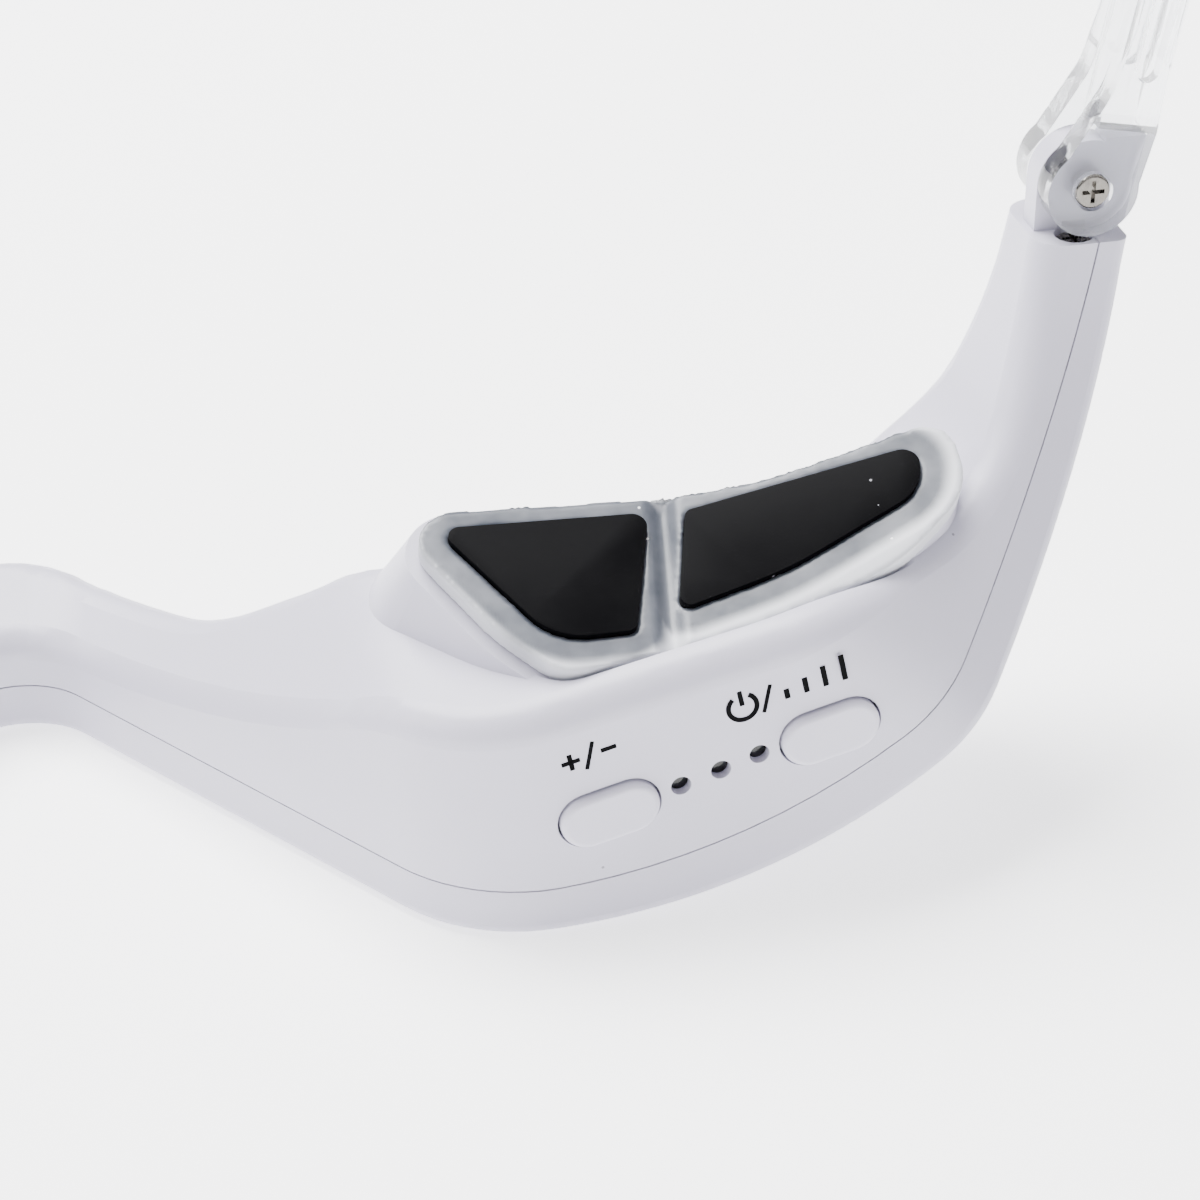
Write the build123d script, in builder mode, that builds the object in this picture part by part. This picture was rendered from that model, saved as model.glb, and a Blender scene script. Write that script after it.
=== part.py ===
from build123d import *

import os
from math import acos, atan2, cos, degrees, radians, sin, tan

# Under-eye massager worn like a pair of glasses: a hollow white frame that runs from the nose
# bridge under both eyes to two clear folding temples, with a soft electrode pad on each side.
# It lies on its front face: X points to the wearer's right, Y up the wearer's face and Z back
# towards the wearer. The origin is the middle of the nose bridge on the front face.
# All sizes are in millimetres and all angles in degrees.

# ---- Frame: profile seen from above the wearer's head (X, Z) ----
flat_half = 36.0          # half the width of the flat front
wrap_radius = 44.0        # outer radius of the bend round the temple
wrap_angle = 80.0         # how far the arm turns back
arm_thickness = 6.6
arm_end_z = 39.5
near_y = -40.0            # the rear surface is ruled between a lower and an upper profile
far_y = 6.0
rear_low = [(7.3, -3.4, 9.0), (24.6, 15.9, 9.0)]
rear_high = [(3.0, 11.3, 9.0), (24.5, 19.8, 12.0)]
rear_crest = (54.0, 22.2, 30.0)
lobe_depth = 23.0         # depth of the frame where the lobe meets the arm
blend_sweep = 10.0        # length of the arm's inner arc that blends into the lobe
wall = 1.5
ceiling_z = 17.0          # flat inner ceiling of the lobes

# ---- Frame: outline seen from the front (X, Y) ----
bridge_width = 9.6
nose_corner_x = 2.9
nose_corner_radius = 5.8
brow_corner_x = 3.8
brow_corner_radius = 8.0
lobe_bottom_y = -38.7
lobe_bottom_x = 28.9
lobe_bottom_radius = 12.0
bottom_wall_slope = 3.3   # rise of the control wall away from the nose
cheek_out = 29.6          # the bottom wall turns up along the arm this far past the flat front
cheek_radius = 10.0
cheek_rise = 1.2          # Y gained for each millimetre of X along the arm
crease_top_z = 27.0       # the crease between the bottom wall and the arm ends below this
eye_dip = [(16.3, -10.6, 14.0), (37.0, -20.0, 16.0), (56.0, -18.5, 20.0), (67.0, -10.7, 12.0)]
arm_top_y = -11.7

# ---- Parting line and edges ----
cover_side = 3.8          # height of the front cover's side wall
parting_start_x = 34.0    # where the parting line starts to bend
parting_radius = 44.5
parting_gap = 0.12
lip_height = 1.0
lip_thickness = 0.6
lip_clearance = 0.05
rear_edge_radius = 2.3
front_edge_radius = 1.0

# ---- Pad and electrodes ----
pad_tilt = 25.0
pad_low_y = -35.3
pad_low_z = 19.7
pad_fold_x = 45.5         # the pad bends along this line
pad_fold = 9.0
pad_thickness = 1.8
pad_recess_gap = 0.25
pad_outline = [(26.2, 13.9, 2.6), (32.3, 3.5, 16.0), (36.2, -0.6, 3.0), (50.0, 1.3, 25.0),
               (59.8, 3.6, 14.0), (66.3, 8.9, 5.5), (65.9, 15.1, 2.4), (52.0, 12.7, 30.0)]
inner_electrode = [(29.6, 12.1, 0.8), (36.0, 2.2, 4.5), (41.6, 2.2, 0.7), (44.3, 11.6, 1.0)]
outer_electrode = [(46.8, 11.3, 0.6), (44.8, 3.5, 0.7), (52.5, 5.0, 25.0), (62.9, 9.3, 3.5),
                   (63.4, 13.0, 1.2)]
electrode_thickness = 0.7
electrode_proud = 0.15
boss_inset = 1.0
boss_taper = 20.0
plug_inset = 3.2          # locating plug under the pad, in a pocket in the boss
plug_depth = 0.9
plug_clearance = 0.1
stud_radius = 1.1
stud_length = 1.6
stud_clearance = 0.1
pin_radius = 0.7
pin_tail = 0.65
inner_stud = (38.0, 7.4)
outer_stud = (54.5, 8.6)

# ---- Controls on the bottom wall, right half ----
button_length = 7.0
button_width = 4.0
button_turn = 13.0
button_proud = 0.6
button_gap = 0.18
button_travel = 0.4
button_flange = 0.7
flange_rim = 0.6
stem_radius = 1.2
level_button_at = (38.8, 9.5)
mode_button_at = (54.3, 13.4)
lamp_holes = [(43.8, 10.8), (46.6, 11.6), (49.3, 12.4)]
lamp_hole_radius = 0.72
guide_recess = 0.7
guide_clearance = 0.04
board_thickness = 1.0
board_depth = 6.8         # outside of the wall to the near face of the board
board_outline = [(30.6, 4.9), (44.0, 4.9), (61.0, 10.6), (61.0, 16.6), (37.5, 16.6),
                 (30.6, 14.8)]
board_post_at = [(32.6, 6.8), (49.0, 14.9)]
board_post_radius = 1.5
switch_size = 3.4
switch_height = 1.6
plunger_radius = 0.8
plunger_height = 0.5
lamp_size = 1.6
lamp_height = 0.7
chip_size = 4.0
chip_height = 0.9
coil_radius = 2.0
coil_height = 2.2

# ---- Power, left half ----
battery_size = (18.0, 13.0, 4.6)
battery_at = (-47.5, -29.0)
battery_gap = 1.8         # foam tape between the cell and the shell
tape_size = (8.0, 11.0)
socket_x = -46.0
socket_z = 8.5
socket_width = 9.0
socket_height = 3.2
socket_length = 7.3
socket_clearance = 0.2
socket_recess = 0.3
socket_wall = 0.3
charge_board_size = (16.0, 10.0)
charge_post_x = 6.3       # charging board's posts to each side of the socket
charge_post_radius = 1.5

# ---- Fasteners ----
screw_radius = 0.8
screw_head_radius = 1.5
screw_head_height = 0.9
screw_clearance = 0.15
case_screw_at = [(33.5, -26.5), (59.0, -25.5)]
case_screw_length = 10.0
case_post_radius = 2.0
board_screw_length = 3.0
charge_screw_length = 2.4
end_screw_length = 8.0
end_screw_in = 3.6        # end screw's axis from the arm's outer face
end_screw_up = 1.7        # and from its lower edge
end_head_radius = 1.25

# ---- Hinges and temples ----
hinge_in = 3.5            # hinge axis from the arm's outer face
hinge_rise = 3.6          # and above the arm's end
knuckle_radius = 3.3
ear_width = 2.2
knuckle_gap = 0.1
hinge_screw_radius = 0.75
hinge_running_gap = 0.05
hinge_head_radius = 1.25
hinge_head_height = 0.8
temple_thickness = 3.7
temple_lean_length = 34.0 # the temple runs on along the arm, then bends back inwards
temple_bow_radius = 90.0
temple_bow_turn = 13.0
temple_straight = 78.0
temple_hook_radius = 32.0
temple_hook_angle = 48.0
temple_tip = 14.0
temple_edge_radius = 0.7
butt_gap = 0.15
groove_width = 1.6
groove_depth = 1.0
groove_start = 4.0

# ---- Leads ----
cable_radius = 0.6
thread_radius = 0.45

# ---- Sizes worked out from the above ----
bend_z = wrap_radius                          # the bend's axis is above the end of the flat front
inner_radius = wrap_radius - arm_thickness
outer_corner_x = flat_half + wrap_radius * tan(radians(wrap_angle / 2))
side_lean = 1 / tan(radians(wrap_angle))
arm_end_x = outer_corner_x + arm_end_z * side_lean
hinge_x = arm_end_x + hinge_rise * side_lean - hinge_in
hinge_z = arm_end_z + hinge_rise
wall_direction = (cos(radians(bottom_wall_slope)), sin(radians(bottom_wall_slope)), 0)
wall_normal = (wall_direction[1], -wall_direction[0], 0)
wall_y_at_zero = lobe_bottom_y - lobe_bottom_x * tan(radians(bottom_wall_slope))
cheek_x = flat_half + cheek_out
cheek_y = wall_y_at_zero + cheek_x * tan(radians(bottom_wall_slope))
past_end = 4.0                                # how far construction shapes run past the body


def on_bend(radius, angle):
    """Point at a radius and an angle round the axis of the bend."""
    return (flat_half + radius * sin(radians(angle)), bend_z - radius * cos(radians(angle)))


def arm_low_y(angle):
    """Height of the arm's lower wall at an angle round the bend."""
    return cheek_y + cheek_rise * (on_bend(wrap_radius, angle)[0] - cheek_x)


end_angle = degrees(atan2(arm_end_x - flat_half, bend_z - arm_end_z))
arm_end_low_y = arm_low_y(end_angle)
hinge_low_y = arm_end_low_y + 0.5
tongue_low_y = hinge_low_y + ear_width + knuckle_gap
tongue_high_y = tongue_low_y + ear_width
hinge_high_y = tongue_high_y + knuckle_gap + ear_width
temple_width = hinge_high_y - hinge_low_y
temple_start_z = hinge_z + 3.5


def rounded(corners):
    """Closed outline through (x, y, radius) corners."""
    points = [(corner[0], corner[1]) for corner in corners]
    return FilletPolyline(points, radius=[corner[2] for corner in corners], close=True)


# ---- Wall planes: local x along the wall, local y up (Z), normal out of the body ----
control_wall = Plane(origin=(0, wall_y_at_zero, 0), x_dir=wall_direction, z_dir=wall_normal)
socket_wall_plane = Plane(
    origin=(0, wall_y_at_zero, 0),
    x_dir=(wall_direction[0], -wall_direction[1], 0),
    z_dir=(-wall_normal[0], wall_normal[1], 0),
)

# ---- Pad planes: local x is the frame's X ----
pad_up = (0, cos(radians(pad_tilt)), sin(radians(pad_tilt)))
pad_out = (0, -sin(radians(pad_tilt)), cos(radians(pad_tilt)))
pad_origin = (0, pad_low_y, pad_low_z)
pad_face = Plane(origin=pad_origin, x_dir=(1, 0, 0), z_dir=pad_out)
pad_section = Plane(origin=pad_origin, x_dir=(1, 0, 0), z_dir=tuple(-v for v in pad_up))
pad_reach = 75.0          # the folded layers run past the pad on every side


# ---- Construction solids for the frame ----
def underarm_cut(lift):
    """Everything below the arm's lower wall, its sides square to the bend."""
    with BuildPart() as cut:
        for angle in (36, 48, 60, 74, 90):
            x, z = on_bend(1.0, angle)
            outward = (x - flat_half, 0, z - bend_z)
            along = (-outward[2], 0, outward[0])
            top = arm_low_y(angle) + lift
            with BuildSketch(Plane(origin=(flat_half, 0, bend_z), x_dir=outward, z_dir=along)):
                with BuildLine():
                    Polyline((inner_radius * 0.5, top), (wrap_radius * 1.3, top),
                             (wrap_radius * 1.3, -80), (inner_radius * 0.5, -80), close=True)
                make_face()
        loft()
    return cut.part


def plan_corners():
    """Corners of the right half's outline seen from the front."""
    past_bridge = -past_end
    end_x = arm_end_x + past_end
    end_low_y = wall_y_at_zero + end_x * tan(radians(bottom_wall_slope))
    return [
        (past_bridge, -bridge_width / 2, 0),
        (nose_corner_x, -bridge_width / 2, nose_corner_radius),
        (lobe_bottom_x, lobe_bottom_y, lobe_bottom_radius),
        (end_x, end_low_y, 0),
        (end_x, arm_top_y, 0),
        *reversed(eye_dip),
        (brow_corner_x, bridge_width / 2, brow_corner_radius),
        (past_bridge, bridge_width / 2, 0),
    ]


def front_corners():
    """Corners of the right half's front profile seen from above the head."""
    end_x = outer_corner_x + arm_end_z * side_lean
    return [
        (-past_end, 0, 0),
        (outer_corner_x, 0, wrap_radius),
        (end_x, arm_end_z, 0),
        (-past_end, arm_end_z, 0),
    ]


def rear_corners(ramp):
    """Corners of the region in front of one of the two rear profiles."""
    meet_angle = degrees(acos((bend_z - lobe_depth) / inner_radius))
    blend_angle = meet_angle + blend_sweep
    blend_x, blend_z = on_bend(inner_radius, blend_angle)
    rise = (blend_z - lobe_depth) / sin(radians(blend_angle))
    blend_radius = 0.97 * rise / tan(radians(blend_angle / 2))
    arc_turn = (wrap_angle - blend_angle) / 2
    arc_x, arc_z = on_bend(inner_radius / cos(radians(arc_turn)), blend_angle + arc_turn)
    top_z = arm_end_z + past_end
    inner_end_x = outer_corner_x - arm_thickness / sin(radians(wrap_angle)) + top_z * side_lean
    reach = arm_end_x + 60
    return [
        (-past_end, ramp[0][1], 0),
        *ramp,
        rear_crest,
        (blend_x - rise * cos(radians(blend_angle)), lobe_depth, blend_radius),
        (arc_x, arc_z, inner_radius * 0.97),
        (inner_end_x, top_z, 0),
        (reach, top_z, 0),
        (reach, -60, 0),
        (-past_end, -60, 0),
    ]


def half_block(inset):
    """Right half of the frame's envelope, with every face moved in by the inset."""
    with BuildPart() as rear_limit:
        for section_y, ramp in ((near_y, rear_low), (far_y, rear_high)):
            with BuildSketch(Plane.XZ.offset(-section_y)):
                with BuildLine():
                    rounded(rear_corners(ramp))
                make_face()
                if inset:
                    offset(amount=-inset)
        loft(ruled=True)
    with BuildPart() as block:
        with BuildSketch():
            with BuildLine():
                rounded(plan_corners())
            make_face()
            if inset:
                offset(amount=-inset)
        extrude(amount=arm_end_z + past_end)
        with BuildSketch(Plane.XZ):
            with BuildLine():
                rounded(front_corners())
            make_face()
            if inset:
                offset(amount=-inset)
        extrude(amount=100, both=True, mode=Mode.INTERSECT)
        add(rear_limit.part, mode=Mode.INTERSECT)
    return block.part


def below_parting(lift, depth=30.0):
    """Everything in front of the parting surface, raised by the lift, on both halves."""
    radius = parting_radius - lift
    corner_x = parting_start_x + radius * tan(radians(wrap_angle / 2))
    top_z = arm_end_z + past_end
    side = [(0, cover_side + lift), (corner_x, cover_side + lift),
            (corner_x + (top_z - cover_side - lift) * side_lean, top_z)]
    with BuildPart() as region:
        with BuildSketch(Plane.XZ):
            with BuildLine() as edge:
                FilletPolyline(side, radius=radius)
                Line(side[-1], (side[-1][0] + depth, top_z))
                Line((side[-1][0] + depth, top_z), (side[-1][0] + depth, -depth))
                Line((side[-1][0] + depth, -depth), (0, -depth))
                mirror(edge.line, about=Plane.YZ)
            make_face()
        extrude(amount=100, both=True)
    return region.part


raw_half = half_block(0)
lower_wall = underarm_cut(0)
inner_half = half_block(wall)
lip_root_half = half_block(wall * 0.5)
lip_half = half_block(wall + lip_clearance)
lip_core_half = half_block(wall + lip_clearance + lip_thickness)
inner_lower_wall = underarm_cut(wall * 1.5)
lip_root_lower_wall = underarm_cut(wall)
lip_lower_wall = underarm_cut((wall + lip_clearance) * 1.5)
lip_core_lower_wall = underarm_cut((wall + lip_clearance + lip_thickness) * 1.5)


def depth_side(point):
    """Positive on the wearer's side of the frame's middle surface."""
    if point.X < flat_half:
        return point.Z - cover_side
    middle_radius = wrap_radius - arm_thickness / 2
    reach = (point.X - flat_half) ** 2 + (bend_z - point.Z) ** 2
    return middle_radius ** 2 - reach


def is_rim(edge):
    """Edges where a side wall meets the front or the rear surface."""
    box = edge.bounding_box().size
    across = box.X < 0.01 and box.Z < 0.01
    upright = box.X < 0.01 and box.Y < 0.01
    in_middle = box.X < 0.01 and abs((edge @ 0.5).X) < 0.01
    through = depth_side(edge @ 0) * depth_side(edge @ 1) < 0
    at_end = box.Z < 0.01 and abs((edge @ 0.5).Z - arm_end_z) < 0.01
    return not (across or upright or in_middle or through or at_end)


def trimmed(block, cut):
    """Half block cut by the arm's lower wall and kept to its own side of the middle."""
    with BuildPart() as half:
        add(block)
        add(cut, mode=Mode.SUBTRACT)
        split(bisect_by=Plane.YZ, keep=Keep.TOP)
    return half.part


with BuildPart() as right_body:
    add(raw_half)
    add(lower_wall, mode=Mode.SUBTRACT)
    crease = right_body.edges().filter_by(
        lambda e: abs(e.center().X - cheek_x) < cheek_radius * 1.2
        and e.center().Y < lobe_bottom_y / 2
            and e.center().Z < crease_top_z
        and depth_side(e @ 0) * depth_side(e @ 1) < 0
    )
    fillet(crease, cheek_radius)
    split(bisect_by=Plane.YZ, keep=Keep.TOP)
    rims = right_body.edges().filter_by(is_rim)
    fillet([e for e in rims if depth_side(e @ 0.5) > 0], rear_edge_radius)
    rims = right_body.edges().filter_by(is_rim)
    fillet([e for e in rims if depth_side(e @ 0.5) < 0], front_edge_radius)

right_cavity = trimmed(inner_half, inner_lower_wall)
right_lip_root = trimmed(lip_root_half, lip_root_lower_wall)
right_lip = trimmed(lip_half, lip_lower_wall)
right_lip_core = trimmed(lip_core_half, lip_core_lower_wall)


def both_halves(half, top_z=arm_end_z):
    """A half solid and its mirror image as one, cut off square at a height."""
    with BuildPart() as whole:
        add(half)
        mirror(half, about=Plane.YZ)
        with BuildSketch(Plane.XY.offset(top_z)):
            Rectangle(400, 400)
        extrude(amount=100, mode=Mode.SUBTRACT)
    return whole.part


frame_body = both_halves(right_body.part)
cavity = both_halves(right_cavity, ceiling_z)
lip_root = both_halves(right_lip_root, ceiling_z)
lip_outside = both_halves(right_lip, ceiling_z - lip_clearance)
lip_inside = both_halves(right_lip_core, ceiling_z)
front_region = below_parting(0)
rear_cutter = below_parting(parting_gap)
lip_top_region = below_parting(lip_height)
lip_foot_region = below_parting(-lip_height)


# ---- Construction solids for the pads ----
def fold_band(top, bottom):
    """Folded layer between two depths of the pad, reaching past its outline."""
    rise = (pad_reach - pad_fold_x) * tan(radians(pad_fold))
    with BuildPart() as band:
        with BuildSketch(pad_section):
            with BuildLine():
                Polyline((0, top), (pad_fold_x, top), (pad_reach, top + rise),
                         (pad_reach, bottom + rise), (pad_fold_x, bottom), (0, bottom),
                         close=True)
            make_face()
        extrude(amount=60, both=True)
    return band.part


def pad_layer(corners, grow, top, bottom):
    """Layer of the folded pad with a grown or shrunk outline."""
    with BuildPart() as layer:
        with BuildSketch(pad_face):
            with BuildLine():
                rounded(corners)
            make_face()
            if grow:
                offset(amount=grow)
        extrude(amount=20, both=True)
        add(fold_band(top, bottom), mode=Mode.INTERSECT)
    return layer.part


def fold_height(x):
    """Rise of the folded pad face at a local x."""
    return max(0, x - pad_fold_x) * tan(radians(pad_fold))


def pad_posts(radius, top, bottom):
    """Round posts under both electrodes, square to the pad's lower part."""
    with BuildPart() as posts:
        for x, y in (inner_stud, outer_stud):
            lift = fold_height(x)
            with BuildSketch(pad_face.offset(bottom + lift)):
                with Locations((x, y)):
                    Circle(radius)
            extrude(amount=top - bottom)
    return posts.part


pad_slab = pad_layer(pad_outline, 0, 0, -pad_thickness)
pad_plug = pad_layer(pad_outline, -plug_inset, -pad_thickness, -pad_thickness - plug_depth)
pad_recess = pad_layer(pad_outline, pad_recess_gap, 12, -pad_thickness)
plug_pocket = pad_layer(
    pad_outline, plug_clearance - plug_inset, 1, -pad_thickness - plug_depth - plug_clearance
)
electrode_floor = electrode_proud - electrode_thickness
inner_plate = pad_layer(inner_electrode, 0, electrode_proud, electrode_floor)
outer_plate = pad_layer(outer_electrode, 0, electrode_proud, electrode_floor)
stud_bottom = electrode_floor - stud_length
studs = pad_posts(stud_radius, electrode_floor, stud_bottom)
stud_holes = pad_posts(stud_radius, electrode_floor, -pad_thickness - plug_depth - 1)


with BuildPart() as right_pins:
    for x, y in (inner_stud, outer_stud):
        top = stud_bottom + fold_height(x)
        tail_z = ceiling_z - pin_tail - pad_origin[2]
        bottom = (tail_z - y * sin(radians(pad_tilt))) / cos(radians(pad_tilt))
        with BuildSketch(pad_face.offset(bottom)):
            with Locations((x, y)):
                Circle(pin_radius)
        extrude(amount=top - bottom)

under_boss = fold_band(-pad_thickness, -30)

with BuildPart() as right_boss:
    boss_top = fold_height(pad_outline[5][0])
    with BuildSketch(pad_face.offset(boss_top)):
        with BuildLine():
            rounded(pad_outline)
        make_face()
        offset(amount=-boss_inset)
    extrude(amount=-14, taper=-boss_taper)
    add(under_boss, mode=Mode.INTERSECT)
    with BuildSketch(Plane.XY):
        with BuildLine():
            rounded(plan_corners())
        make_face()
        offset(amount=-wall / 2)
    extrude(amount=60, mode=Mode.INTERSECT)


# ---- Construction solids for the controls ----
def button_shape(grow):
    """Obround button outline, grown on every side."""
    SlotOverall(button_length + 2 * grow, button_width + 2 * grow, rotation=button_turn)


def wall_pegs(positions, radius, start, amount):
    """Round pegs square to the control wall, starting at a depth outside it."""
    with BuildPart() as pegs:
        with BuildSketch(control_wall.offset(start)):
            with Locations(*positions):
                Circle(radius)
        extrude(amount=amount)
    return pegs.part


button_windows = []
for centre in (level_button_at, mode_button_at):
    with BuildPart() as window:
        with BuildSketch(control_wall.offset(2)):
            with Locations(centre):
                button_shape(button_gap)
        extrude(amount=-2 - wall - 1)
    button_windows.append(window.part)

lamp_bores = wall_pegs(lamp_holes, lamp_hole_radius, 2, -2 - wall - 1)
board_posts = wall_pegs(board_post_at, board_post_radius, -wall / 2, wall / 2 - board_depth)
board_pilots = wall_pegs(board_post_at, screw_radius, -wall - 0.5, -board_depth)

with BuildPart() as socket_window:
    with BuildSketch(socket_wall_plane.offset(2)):
        with Locations((socket_x, socket_z)):
            SlotOverall(socket_width + 2 * socket_clearance, socket_height + 2 * socket_clearance)
    extrude(amount=-2 - wall - 1.5)

# ---- Case screws through the bosses into posts on the front cover ----
screw_sides = [(side * x, y) for side in (1, -1) for x, y in case_screw_at]
head_seat_z = ceiling_z + wall * 0.8
post_top_z = ceiling_z - lip_clearance


def uprights(positions, radius, bottom, top):
    """Round uprights along Z at several places."""
    with BuildPart() as posts:
        with BuildSketch(Plane.XY.offset(bottom)):
            with Locations(*positions):
                Circle(radius)
        extrude(amount=top - bottom)
    return posts.part


head_wells = uprights(
    screw_sides, screw_head_radius + screw_clearance, head_seat_z, head_seat_z + 12
)
screw_ways = uprights(
    screw_sides, screw_radius + screw_clearance, ceiling_z - 1, head_seat_z + 1
)
case_posts = uprights(screw_sides, case_post_radius, wall / 2, post_top_z)
case_pilots = uprights(screw_sides, screw_radius, head_seat_z - case_screw_length, post_top_z + 1)

# ---- Arm ends: hinge tongue and end screw ----
end_screw_x = arm_end_x - end_screw_in
end_screw_y = arm_end_low_y + end_screw_up
end_screws_at = [(end_screw_x, end_screw_y), (-end_screw_x, end_screw_y)]
end_seat_z = arm_end_z - screw_head_height - 0.25
end_wells = uprights(
    end_screws_at, end_head_radius + screw_clearance, end_seat_z, arm_end_z + 1
)
end_pilots = uprights(end_screws_at, screw_radius, end_seat_z - end_screw_length, end_seat_z + 1)

with BuildPart() as right_tongue:
    with BuildSketch(Plane.XZ.offset(-tongue_low_y)):
        with Locations((hinge_x, hinge_z)):
            Circle(knuckle_radius)
        butt_z = temple_start_z - butt_gap
        foot_z = arm_end_z - 2
        with BuildLine():
            Polyline(
                (hinge_x - knuckle_radius, hinge_z), (hinge_x - knuckle_radius, foot_z),
                (outer_corner_x + foot_z * side_lean, foot_z),
                (outer_corner_x + butt_z * side_lean, butt_z),
                (hinge_x + 1.2, butt_z), (hinge_x, hinge_z), close=True,
            )
        make_face()
        with Locations((hinge_x, hinge_z)):
            Circle(hinge_screw_radius + hinge_running_gap, mode=Mode.SUBTRACT)
    extrude(amount=-(tongue_high_y - tongue_low_y))


# ---- Charging board's place, square to its own wall ----
def socket_point(x, depth):
    """Frame X and Y of a point behind the socket wall."""
    place = socket_wall_plane.from_local_coords((x, 0, -depth))
    return (place.X, place.Y)


board_top_z = socket_z - socket_height / 2
charge_board_start = wall + lip_clearance + lip_thickness + 0.2
charge_post_depth = charge_board_start + charge_post_radius + 2
charge_posts_at = [
    socket_point(socket_x + side * charge_post_x, charge_post_depth) for side in (-1, 1)
]
charge_posts = uprights(charge_posts_at, charge_post_radius, 0, board_top_z - board_thickness)
charge_pilots = uprights(
    charge_posts_at, screw_radius, board_top_z - charge_screw_length - 0.1, board_top_z
)


def screw(seat, head_radius, head_height, shank_radius, length):
    """Cross-recessed screw whose head sits on a plane and whose shank runs into it."""
    with BuildPart() as body:
        with BuildSketch(seat):
            Circle(head_radius)
        extrude(amount=head_height)
        fillet(body.edges().sort_by(Axis(seat.origin, seat.z_dir))[-1], head_height * 0.3)
        with BuildSketch(seat):
            Circle(shank_radius)
        extrude(amount=-length)
        with BuildSketch(seat.offset(head_height * 0.45)):
            Rectangle(head_radius * 1.3, head_radius * 0.25)
            Rectangle(head_radius * 0.25, head_radius * 1.3)
        extrude(amount=head_height, mode=Mode.SUBTRACT)
    return body.part


def slab(plane, centre, width, height, thickness, start=0.0):
    """Rectangular block standing on a plane."""
    with BuildPart() as block:
        with BuildSketch(plane.offset(start)):
            with Locations(centre):
                Rectangle(width, height)
        extrude(amount=thickness)
    return block.part


# ---- 1. Rear shell: the side that faces the wearer ----
with BuildPart() as rear_shell:
    add(frame_body)
    add(right_boss.part)
    mirror(right_boss.part, about=Plane.YZ)
    add(rear_cutter, mode=Mode.SUBTRACT)
    add(cavity, mode=Mode.SUBTRACT)
    add(board_posts)
    add(right_tongue.part)
    mirror(right_tongue.part, about=Plane.YZ)
    add(pad_recess, mode=Mode.SUBTRACT)
    mirror(pad_recess, about=Plane.YZ, mode=Mode.SUBTRACT)
    add(plug_pocket, mode=Mode.SUBTRACT)
    mirror(plug_pocket, about=Plane.YZ, mode=Mode.SUBTRACT)
    add(right_pins.part, mode=Mode.SUBTRACT)
    mirror(right_pins.part, about=Plane.YZ, mode=Mode.SUBTRACT)
    add(button_windows, mode=Mode.SUBTRACT)
    add(lamp_bores, mode=Mode.SUBTRACT)
    add(board_pilots, mode=Mode.SUBTRACT)
    add(socket_window.part, mode=Mode.SUBTRACT)
    add(head_wells, mode=Mode.SUBTRACT)
    add(screw_ways, mode=Mode.SUBTRACT)
    add(end_wells, mode=Mode.SUBTRACT)
    add(end_pilots, mode=Mode.SUBTRACT)

# ---- 2. Front cover: the side that faces away, with a lip that locates in the rear shell ----
with BuildPart() as lip:
    add(lip_outside)
    add(lip_top_region, mode=Mode.INTERSECT)
with BuildPart() as lip_foot:
    add(lip_root)
    add(front_region, mode=Mode.INTERSECT)
with BuildPart() as lip_ring:
    add(lip.part)
    add(lip_foot.part)
    add(lip_foot_region, mode=Mode.SUBTRACT)
    add(lip_inside, mode=Mode.SUBTRACT)
with BuildPart() as inner_posts:
    add(case_posts)
    add(charge_posts)
    add(cavity, mode=Mode.INTERSECT)
with BuildPart() as front_cover:
    add(frame_body)
    add(front_region, mode=Mode.INTERSECT)
    add(cavity, mode=Mode.SUBTRACT)
    add(lip_ring.part)
    add(inner_posts.part)
    add(case_pilots, mode=Mode.SUBTRACT)
    add(charge_pilots, mode=Mode.SUBTRACT)
    add(end_pilots, mode=Mode.SUBTRACT)
    add(end_wells, mode=Mode.SUBTRACT)
    add(socket_window.part, mode=Mode.SUBTRACT)
    add(right_tongue.part, mode=Mode.SUBTRACT)
    mirror(right_tongue.part, about=Plane.YZ, mode=Mode.SUBTRACT)

# ---- 3. Pads: soft silicone, electrodes pressed into it, and their contact pins ----
with BuildPart() as silicone_pad_right:
    add(pad_slab)
    add(pad_plug)
    add(inner_plate, mode=Mode.SUBTRACT)
    add(outer_plate, mode=Mode.SUBTRACT)
    add(stud_holes, mode=Mode.SUBTRACT)

inner_half_space = Plane(origin=(pad_fold_x, 0, 0), z_dir=(-1, 0, 0))
with BuildPart() as electrode_inner_right:
    add(studs)
    split(bisect_by=inner_half_space, keep=Keep.TOP)
    add(inner_plate)

with BuildPart() as electrode_outer_right:
    add(studs)
    split(bisect_by=inner_half_space, keep=Keep.BOTTOM)
    add(outer_plate)

with BuildPart() as contact_pins_right:
    add(right_pins.part)

with BuildPart() as silicone_pad_left:
    mirror(silicone_pad_right.part, about=Plane.YZ)

with BuildPart() as electrode_inner_left:
    mirror(electrode_inner_right.part, about=Plane.YZ)

with BuildPart() as electrode_outer_left:
    mirror(electrode_outer_right.part, about=Plane.YZ)

with BuildPart() as contact_pins_left:
    mirror(contact_pins_right.part, about=Plane.YZ)


# ---- 4. Buttons, light guide and the control board behind the bottom wall ----
flange_start = -wall - 0.05
plunger_top = -board_depth + switch_height + plunger_height
stem_end = plunger_top + button_travel + 0.05


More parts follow.
